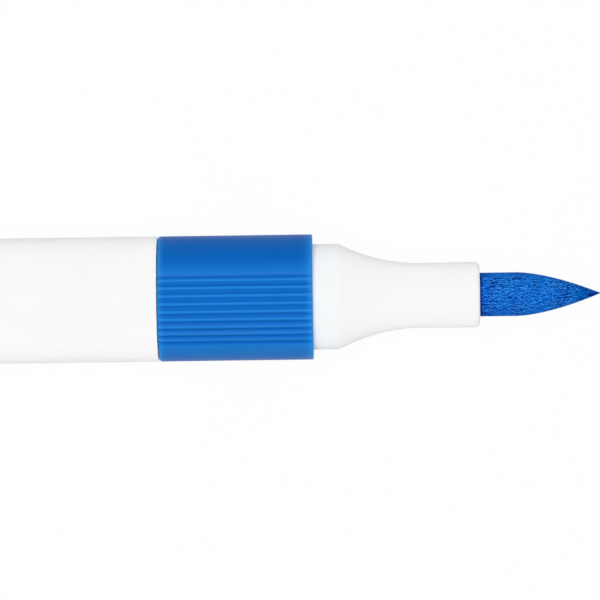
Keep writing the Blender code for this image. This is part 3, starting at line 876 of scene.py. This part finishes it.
liner_corners = [
    (LINER_END + FLOOR_WALL, 0.0, 0.0),
    (LINER_END + FLOOR_WALL, LINER_NIB, SOFT),
    (LINER_NIB_MOUTH, LINER_NIB, SOFT),
    (LINER_SEAL_END, LINER_SEAL, SOFT),
    (LINER_MOUTH, LINER_SEAL, SOFT),
    (LINER_MOUTH, LINER_OUTER, EASED),
    (LINER_PLUG_FRONT, LINER_OUTER, EASED),
    (LINER_PLUG_FRONT, LINER_PLUG, EASED),
    (LINER_END, LINER_PLUG, SOFT),
    (LINER_END, 0.0, 0.0),
]
cap_inner = turned("cap_inner", rounded(liner_corners))
stand_for(cap_inner, "cap_liner", "cap")

# %% [markdown]
# ## Seal ring
# A rubber ring in the spigot's groove keeps paint from creeping out along the thread. A torus would be
# the loose ring. In its groove it is a little flattened, so its section is an ellipse.

# %% Seal ring
SEAL_INNER = 4.85
SEAL_POINTS = 48


def seal_section():
    """Ellipse: station = middle + half width cos(a), radius = inner radius + half height (1 + sin(a))."""
    a = 2 * np.pi * np.arange(SEAL_POINTS) / SEAL_POINTS
    stations = (SEAL_REAR + SEAL_FRONT) / 2 + (SEAL_FRONT - SEAL_REAR) / 2 * np.cos(a)
    radii = SEAL_INNER + (BORE_RADIUS - FIT - SEAL_INNER) / 2 * (1 + np.sin(a))
    return np.column_stack((stations, radii))


seal_ring = turned("seal_ring", seal_section())
stand_for(seal_ring, "front_seal", "seal")

# %% [markdown]
# ## Valve cup
# Behind the nib sits the valve that lets the paint through. It could be left out, because the assembled
# marker hides it. But its pieces move, and a cut or an opened marker shows them, so they are finished
# too. Its cup is a turned moulding that a wall with a hole, the valve's seat, parts into two chambers.

# %% Valve cup
VALVE_REAR, VALVE_FRONT = span("valve_body")
WASHER_REAR, WASHER_FRONT = span("valve_washer")
VALVE_OUTER = VALVE_BORE - FIT
VALVE_CHAMBER = 3.4
FRONT_CHAMBER = 3.0
SEAT_HOLE = 1.5
SEAT_THICKNESS = 1.2
SEAT_REAR = WASHER_FRONT + FIT
SEAT_FRONT = SEAT_REAR + SEAT_THICKNESS
SMALL_COLUMNS = 128

cup_corners = [
    (VALVE_REAR, VALVE_CHAMBER, EASED),
    (VALVE_REAR, VALVE_OUTER, SOFT),
    (VALVE_FRONT, VALVE_OUTER, EASED),
    (VALVE_FRONT, FRONT_CHAMBER, EASED),
    (SEAT_FRONT, FRONT_CHAMBER, EASED),
    (SEAT_FRONT, SEAT_HOLE, EASED),
    (SEAT_REAR, SEAT_HOLE, EASED),
    (SEAT_REAR, VALVE_CHAMBER, EASED),
]
valve_cup = turned("valve_cup", rounded(cup_corners), SMALL_COLUMNS)
stand_for(valve_cup, "valve_body", "front")

# %% [markdown]
# ## Plunger and washer
# The nib pushes the plunger back, the rubber washer in front of its head leaves the seat, and paint runs
# past it to the nib. The plunger is a pin with a head, and its thin tail is guided by a disc behind the
# spring. Head and washer start from the frame's own stations, so that they close on the seat.

# %% Plunger and washer
STEM_REAR, STEM_FRONT = span("valve_stem")
STEM_PIN = 1.1
STEM_GUIDE = 0.9
HEAD_RADIUS = 2.8
HEAD_THICKNESS = 1.2
HEAD_FRONT = WASHER_REAR - FIT
HEAD_REAR = HEAD_FRONT - HEAD_THICKNESS
WASHER_RADIUS = 2.6
WASHER_BORE = STEM_PIN + FIT

stem_corners = [
    (STEM_REAR, 0.0, 0.0),
    (STEM_REAR, STEM_GUIDE, EASED),
    (HEAD_REAR, STEM_GUIDE, EASED),
    (HEAD_REAR, HEAD_RADIUS, EASED),
    (HEAD_FRONT, HEAD_RADIUS, EASED),
    (HEAD_FRONT, STEM_PIN, CRISP),
    (STEM_FRONT, STEM_PIN, SOFT),
    (STEM_FRONT, 0.0, 0.0),
]
plunger = turned("valve_plunger", rounded(stem_corners), SMALL_COLUMNS)
stand_for(plunger, "valve_stem", "stem")

washer_corners = [
    (WASHER_REAR, WASHER_BORE, EASED),
    (WASHER_REAR, WASHER_RADIUS, EASED),
    (WASHER_FRONT, WASHER_RADIUS, EASED),
    (WASHER_FRONT, WASHER_BORE, EASED),
]
washer = turned("seat_washer", rounded(washer_corners), SMALL_COLUMNS)
stand_for(washer, "valve_washer", "stem")

# %% [markdown]
# ## Spring
# A compression spring is a wire on a helix whose end turns lie close together. A curve with a bevel could
# make it. Here the wire is a circle carried along the helix, in a frame of the outward direction and the
# one square to it and to the wire, so it never twists. When the nib is pressed the real spring gets
# shorter.

# %% Spring
SPRING_REAR, SPRING_FRONT = span("valve_spring")
SPRING_LENGTH = SPRING_FRONT - SPRING_REAR
SPRING_TURNS = 8
SPRING_RADIUS = 2.0
WIRE_RADIUS = 0.25
WIRE_SIDES = 16
WIRE_STEPS = 40
CLOSED_PITCH = 0.75


def spring_surface(name):
    """Centre line: x with a close pitch at the ends and an open one between, y = -R sin(turn) and
    z = R cos(turn). Wire: centre + w (cos(a) outward + sin(a) side), with side = outward x along."""
    turns = np.linspace(0.0, SPRING_TURNS, SPRING_TURNS * WIRE_STEPS + 1)
    rise = SPRING_LENGTH - 2 * WIRE_RADIUS
    knots = (0, 1, SPRING_TURNS - 1, SPRING_TURNS)
    x = np.interp(turns, knots, (0, CLOSED_PITCH, rise - CLOSED_PITCH, rise))
    turn = 2 * np.pi * turns
    outward = np.column_stack((np.zeros_like(turn), -np.sin(turn), np.cos(turn)))
    centre = SPRING_RADIUS * outward
    centre[:, 0] = SPRING_REAR + WIRE_RADIUS + x
    along = np.gradient(centre, axis=0)
    side = np.cross(outward, along)
    side /= np.linalg.norm(side, axis=1, keepdims=True)
    a = 2 * np.pi * np.arange(WIRE_SIDES) / WIRE_SIDES
    ring = np.cos(a)[None, :, None] * outward[:, None] + np.sin(a)[None, :, None] * side[:, None]
    points = (centre[:, None] + WIRE_RADIUS * ring).reshape(-1, 3)
    points = np.vstack((points, centre[:1], centre[-1:]))
    return make_piece(name, points, skin(len(turns), WIRE_SIDES, False, True))


spring_wire = spring_surface("spring_wire")
stand_for(spring_wire, "valve_spring", "front")
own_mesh(spring_wire)

# %% [markdown]
# ## Mixing balls
# Two steel balls lie loose in the barrel and stir the paint when the marker is shaken: they are what
# rattles. Blender's own sphere would do, but a ball is also a half circle turned about a line through its
# centre, so the lathe makes it with no new code.

# %% Balls
BALL_STEPS = 64


def stirring_ball(name, node, body):
    """Half circle: station = centre + R cos(a), radius = R sin(a), turned about the ball's middle line."""
    low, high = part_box(node)
    rear, front = span(node)
    radius = (front - rear) / 2
    a = np.linspace(0.0, np.pi, BALL_STEPS)
    outline = np.column_stack((rear + radius + radius * np.cos(a), radius * np.sin(a)))
    ball = turned(name, outline, 2 * BALL_STEPS, centre_z=(low.z + high.z) / 2)
    stand_for(ball, node, body)
    return ball


ball_front = stirring_ball("stirring_ball_front", "mixing_ball_front", "ball_front")
ball_rear = stirring_ball("stirring_ball_rear", "mixing_ball_rear", "ball_rear")

# %% [markdown]
# ## Colours and sizes for the finishes
# Colours are written as the eye reads them on a screen, in sRGB hex, and one function turns them into the
# linear light that a shader works in. A noise pattern repeats about once per unit divided by its scale,
# so a pattern of a given size in millimetres has a scale of one over that size in metres.

# %% Finish helpers
def linear(code):
    """sRGB hex to linear RGBA: c / 12.92 near black, else ((c + 0.055) / 1.055)^2.4."""
    c = np.array([int(code[i : i + 2], 16) for i in (0, 2, 4)]) / 255
    return (*np.where(c <= 0.04045, c / 12.92, ((c + 0.055) / 1.055) ** 2.4).tolist(), 1.0)


def per_mm(size):
    """Scale of a noise whose features are about size millimetres across."""
    return 1 / (size * MM)


def blank(name):
    """A new material with its node tree, its shader and the Object coordinates."""
    material = bpy.data.materials.new(name)
    material.use_nodes = True
    tree = material.node_tree
    place = add(tree, "ShaderNodeTexCoord").outputs["Object"]
    return material, tree, tree.nodes["Principled BSDF"], place


def dress(material, *pieces):
    """Gives the pieces one material each, in place of whatever they had."""
    for piece in pieces:
        piece.data.materials.clear()
        piece.data.materials.append(material)
    print(f"{material.name}: {', '.join(piece.name for piece in pieces)}")


print(f"sRGB mid grey 808080 is {linear('808080')[0]:.3f} in linear light")

# %% [markdown]
# ## Moulded plastics
# Polypropylene comes out of a polished mould with a satin skin. It isn't one even colour: the pigment
# flows in faint clouds, the gloss drifts with the mould's temper, and the skin has a very shallow
# waviness. An image could show all three, but noise in the piece's own coordinates needs no file and no
# unwrapping. A colour can also follow the marks that a piece carries, and a pale plastic lets light in.
# One recipe does all of this, so every moulding below is one call of it.

# %% Moulded plastic
CLOUD_MM = 5.0
DRIFT_MM = 9.0
RIPPLE_MM = 0.7
RIPPLE_DEPTH_MM = 0.002
SCATTER_MM = 0.6
PLASTIC_IOR = 1.49
BUMP_STRENGTH = 0.5


def moulded(name, base, cloud, rough, gloss, scatter=0.0, milky=0.0, marks=()):
    """Satin plastic. Colour: clouds between base and cloud, turning to a mark's colour where it is set.
    Roughness: slow drifts within the pair given. Skin: ripples, about three times coarser than real."""
    material, tree, shader, place = blank(name)
    clouds = add(tree, "ShaderNodeTexNoise", {"Vector": place, "Scale": per_mm(CLOUD_MM), "Detail": 4.0})
    pigment = {0: clouds.outputs["Fac"], 6: linear(base), 7: linear(cloud)}
    colour = add(tree, "ShaderNodeMix", pigment, data_type="RGBA").outputs[2]
    for attribute, code in marks:
        share = add(tree, "ShaderNodeAttribute", attribute_name=attribute).outputs["Fac"]
        shaded = {0: share, 6: colour, 7: linear(code)}
        colour = add(tree, "ShaderNodeMix", shaded, data_type="RGBA").outputs[2]
    tree.links.new(colour, shader.inputs["Base Color"])
    drift = add(tree, "ShaderNodeTexNoise", {"Vector": place, "Scale": per_mm(DRIFT_MM), "Detail": 2.0})
    spread = {"Value": drift.outputs["Fac"], "To Min": rough[0], "To Max": rough[1]}
    tree.links.new(add(tree, "ShaderNodeMapRange", spread).outputs[0], shader.inputs["Roughness"])
    ripple = add(tree, "ShaderNodeTexNoise", {"Vector": place, "Scale": per_mm(RIPPLE_MM), "Detail": 2.0})
    waves = {"Height": ripple.outputs["Fac"], "Strength": BUMP_STRENGTH, "Distance": RIPPLE_DEPTH_MM * MM}
    tree.links.new(add(tree, "ShaderNodeBump", waves).outputs[0], shader.inputs["Normal"])
    shader.inputs["IOR"].default_value = PLASTIC_IOR
    shader.inputs["Specular IOR Level"].default_value = gloss
    shader.inputs["Diffuse Roughness"].default_value = milky
    shader.inputs["Subsurface Weight"].default_value = scatter
    shader.inputs["Subsurface Radius"].default_value = (1.0, 1.0, 1.0)
    shader.inputs["Subsurface Scale"].default_value = SCATTER_MM * MM
    return material


print(f"plastic: clouds of {CLOUD_MM} mm, gloss drifts of {DRIFT_MM} mm and ripples of {RIPPLE_MM} mm")

# %% [markdown]
# ## White and natural plastic
# White and natural polypropylene let light in and send it back evenly, so their round sides hardly
# darken. A plain diffuse white would look like plaster, with grey flanks. Some subsurface scattering and
# a rough diffuse lobe give the milky look. The disc behind the spring keeps its CAD solid, because no
# pose shows it, and only gets the finish. The cap's liner is polyethylene, which is softer, greyer and
# waxier.

# %% White and natural plastic
white_polypropylene = moulded(
    "white_polypropylene_moulded",
    base="F7F7F7", cloud="F5F5F6", rough=(0.40, 0.50), gloss=0.12, scatter=0.15, milky=1.0)
natural_polypropylene = moulded(
    "natural_polypropylene_moulded",
    base="F7F8F7", cloud="F5F6F6", rough=(0.40, 0.50), gloss=0.12, scatter=0.3, milky=1.0)
soft_polyethylene = moulded(
    "natural_polyethylene_moulded",
    base="E8ECED", cloud="E3E8EA", rough=(0.42, 0.52), gloss=0.3, scatter=0.4, milky=1.0)
dress(white_polypropylene, barrel_tube)
dress(natural_polypropylene, nose, valve_cup, plunger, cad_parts["spring_retainer"])
dress(soft_polyethylene, cap_inner)

# %% [markdown]
# ## Painted light and shade on the collar
# The collar isn't one even blue, and its colour also carries painted light and shade. The furrows are
# painted deeper in tone, a painted shade where less light gets out. The ribs, and the strip below them,
# are painted paler, a painted highlight where they catch the light. The rims are painted paler too, a
# painted highlight on their rounded edges: quickly at the seam, slowly towards the nose. Noise can't know
# where those places are, so three marks say it.

# %% Collar marks
FADE_ABOVE = math.radians(17)
FADE_WITHIN = math.radians(10)
FADE_BELOW = math.radians(66)
RIM_POWER = 4
REAR_EDGE = 0.12


def nearness(x, station, width, edge=0.0):
    """1 as far as the edge, then (1 - d / width)^power, d being the distance from there."""
    return np.clip(1 - (np.abs(x - station) - edge) / width, 0.0, 1.0) ** RIM_POWER


def ribs(x, turn):
    """Rule for a mark of painted highlight: 1 on the ribs and 0 in the furrows. It fades out quickly above
    the panel and slowly across the smooth strip below it, which is painted paler too."""
    angle = from_panel(turn)
    above = smoothstep(PANEL_HALF + FADE_ABOVE, PANEL_HALF - FADE_WITHIN, -angle)
    below = smoothstep(np.pi / 2, np.pi / 2 - FADE_BELOW, angle)
    return above * below * (1 - groove(x, turn))


def collar_rim_highlight(x, turn):
    """Rule for a mark of painted highlight: the nearer one of the collar's two rims, at half strength in the
    furrows.
    """
    rims = np.maximum(nearness(x, COLLAR_REAR, REAR_RIM, REAR_EDGE), nearness(x, COLLAR_FRONT, FRONT_RIM))
    return rims * (1 - groove(x, turn) / 2)


def cap_mouth_highlight(x, turn):
    """Rule for a mark of painted highlight: the mouth of the cap."""
    return nearness(x, CAP_MOUTH, REAR_RIM)


# Painted highlight on the ribs and on the smooth strip below them.
mark(ribbed_collar, "painted_rib_highlight", ribs)
# The furrows are painted darker by the grooves' own shape: a painted shade.
mark(ribbed_collar, "painted_furrow_shade", groove)
mark(ribbed_collar, "painted_rim_highlight", collar_rim_highlight)
mark(cap_outer, "painted_rim_highlight", cap_mouth_highlight)

# %% [markdown]
# ## Blue plastic
# The collar, the tail plug and the cap are one dense blue polypropylene that lets no light in. It stays
# matt: next to no white shine lies over it. The same recipe as for the white gives it clouds and ripples,
# and the marks paint highlights onto the collar's ribs and rims and the cap's mouth, and shade into the
# collar's furrows.

# %% Blue plastic
# Colours of the painted highlights on ribs and rims, and of the painted shade in the furrows.
blue_painted_light = (("painted_rib_highlight", "1F82D8"), ("painted_furrow_shade", "0A68C2"), ("painted_rim_highlight", "2A98F0"))
blue_polypropylene = moulded(
    "blue_polypropylene_moulded",
    base="0A6AC6", cloud="0866C0", rough=(0.30, 0.40), gloss=0.03, marks=blue_painted_light)
dress(blue_polypropylene, ribbed_collar, tail_plug, cap_outer)

# %% [markdown]
# ## Colours of the fibre
# The furrows between fibres are darker, partly wet paint and partly painted shade, and the backs of the
# fibres are paler, a painted highlight. So the colour follows the fibre mark that the nib carries, along
# a ramp of blues. A slow noise makes some stretches of the nib a little darker than others.

# %% Fibre colours
RIDGE_RANGE = 1.85
SPECK_SHARE = 0.25
FIBRE_BLUES = ((0.32, "000440"), (0.43, "0038AA"), (0.53, "0A70E2"), (0.80, "4AA8FF"))
TONE_MM = 2.2
TONE_RANGE = (0.35, 0.65)
TONE_BLUES = ("0030A0", "048EEE")


def strand_blue(tree, speck):
    """The fibre mark, spread over the ridge range, with a share of specks, on a ramp of four blues: wet
    paint and painted shade at the dark end, painted highlight at the pale end.
    """
    ridge = add(tree, "ShaderNodeAttribute", attribute_name="fibre").outputs["Fac"]
    spread = {"Value": ridge, "From Min": -RIDGE_RANGE, "From Max": RIDGE_RANGE}
    height = add(tree, "ShaderNodeMapRange", spread).outputs[0]
    broken = add(tree, "ShaderNodeMix", {0: SPECK_SHARE, 2: height, 3: speck}).outputs[0]
    ramp = add(tree, "ShaderNodeValToRGB", {"Fac": broken})
    for position, code in FIBRE_BLUES[1:-1]:
        ramp.color_ramp.elements.new(position)
    for element, (position, code) in zip(ramp.color_ramp.elements, FIBRE_BLUES):
        element.position = position
        element.color = linear(code)
    return ramp.outputs["Color"]


def slow_tone(tree, place):
    """A drift between two blues, by noise of some millimetres."""
    slow = add(tree, "ShaderNodeTexNoise", {"Vector": place, "Scale": per_mm(TONE_MM), "Detail": 1.0})
    wide = {"Value": slow.outputs["Fac"], "From Min": TONE_RANGE[0], "From Max": TONE_RANGE[1]}
    drift = add(tree, "ShaderNodeMapRange", wide).outputs[0]
    tones = {0: drift, 6: linear(TONE_BLUES[0]), 7: linear(TONE_BLUES[1])}
    return add(tree, "ShaderNodeMix", tones, data_type="RGBA").outputs[2]


print(f"fibre: a ramp of {len(FIBRE_BLUES)} blues, and tones of {TONE_MM} mm")

# %% [markdown]
# ## Felted fibre
# Felt soaked with paint is matt all over. Below the size of the nib's grid a finer noise, drawn out along
# the nib, breaks the strands up into specks, in their colour and in the skin. Real fibres are thinner
# still, but these are as fine as the picture shows.

# %% Fibre finish
SPECK_MM = (0.12, 0.07, 0.07)
SPECK_DEPTH_MM = 0.01
SPECK_RANGE = (0.3, 0.7)
TONE_SHARE = 0.2
FIBRE_ROUGHNESS = 0.8
FIBRE_GLOSS = 0.02


def paint_soaked_fibre():
    """Colour: the strands' blue with a share of slow tone. Skin: the specks, raised by a bump."""
    material, tree, shader, place = blank("bonded_fibre_soaked_with_paint")
    drawn_out = {"Vector": place, "Scale": tuple(per_mm(size) for size in SPECK_MM)}
    stretched = add(tree, "ShaderNodeMapping", drawn_out).outputs[0]
    fine = add(tree, "ShaderNodeTexNoise", {"Vector": stretched, "Scale": 1.0, "Detail": 2.0})
    crisp = {"Value": fine.outputs["Fac"], "From Min": SPECK_RANGE[0], "From Max": SPECK_RANGE[1]}
    speck = add(tree, "ShaderNodeMapRange", crisp).outputs[0]
    mixed = {0: TONE_SHARE, 6: strand_blue(tree, speck), 7: slow_tone(tree, place)}
    colour = add(tree, "ShaderNodeMix", mixed, data_type="RGBA").outputs[2]
    tree.links.new(colour, shader.inputs["Base Color"])
    raised = {"Height": speck, "Strength": BUMP_STRENGTH, "Distance": SPECK_DEPTH_MM * MM}
    tree.links.new(add(tree, "ShaderNodeBump", raised).outputs[0], shader.inputs["Normal"])
    shader.inputs["Roughness"].default_value = FIBRE_ROUGHNESS
    shader.inputs["Specular IOR Level"].default_value = FIBRE_GLOSS
    return material


dress(paint_soaked_fibre(), brush_tip)

# %% [markdown]
# ## Rubber and steel
# The seals are black nitrile rubber: matt, with a faint grey bloom. The spring is drawn stainless wire,
# with a fine grain, and the balls are polished bearing steel, bright with a slight haze. One recipe
# serves for all three: a noise of the grain's size moves the colour, the roughness and the skin together.

# %% Rubber and steel
def grained(name, dark, light, grain, rough, metallic, depth):
    """Colour mixed from dark to light by noise of the grain's size, and roughness and bump by the same."""
    material, tree, shader, place = blank(name)
    grains = add(tree, "ShaderNodeTexNoise", {"Vector": place, "Scale": per_mm(grain), "Detail": 5.0})
    noise = grains.outputs["Fac"]
    colour = add(tree, "ShaderNodeMix", {0: noise, 6: linear(dark), 7: linear(light)}, data_type="RGBA")
    tree.links.new(colour.outputs[2], shader.inputs["Base Color"])
    spread = {"Value": noise, "To Min": rough[0], "To Max": rough[1]}
    tree.links.new(add(tree, "ShaderNodeMapRange", spread).outputs[0], shader.inputs["Roughness"])
    raised = {"Height": noise, "Strength": BUMP_STRENGTH, "Distance": depth * MM}
    tree.links.new(add(tree, "ShaderNodeBump", raised).outputs[0], shader.inputs["Normal"])
    shader.inputs["Metallic"].default_value = metallic
    return material


rubber = grained(
    "black_nitrile_rubber",
    dark="18181A", light="2A2A2D", grain=0.3, rough=(0.55, 0.75), metallic=0.0, depth=0.01)
wire = grained(
    "drawn_stainless_wire",
    dark="9A9CA0", light="C2C4C8", grain=0.12, rough=(0.22, 0.40), metallic=1.0, depth=0.003)
steel = grained(
    "polished_bearing_steel",
    dark="B4B6BA", light="CDCED2", grain=0.6, rough=(0.06, 0.16), metallic=1.0, depth=0.001)
dress(rubber, seal_ring, washer)
dress(wire, spring_wire)
dress(steel, ball_front, ball_rear)
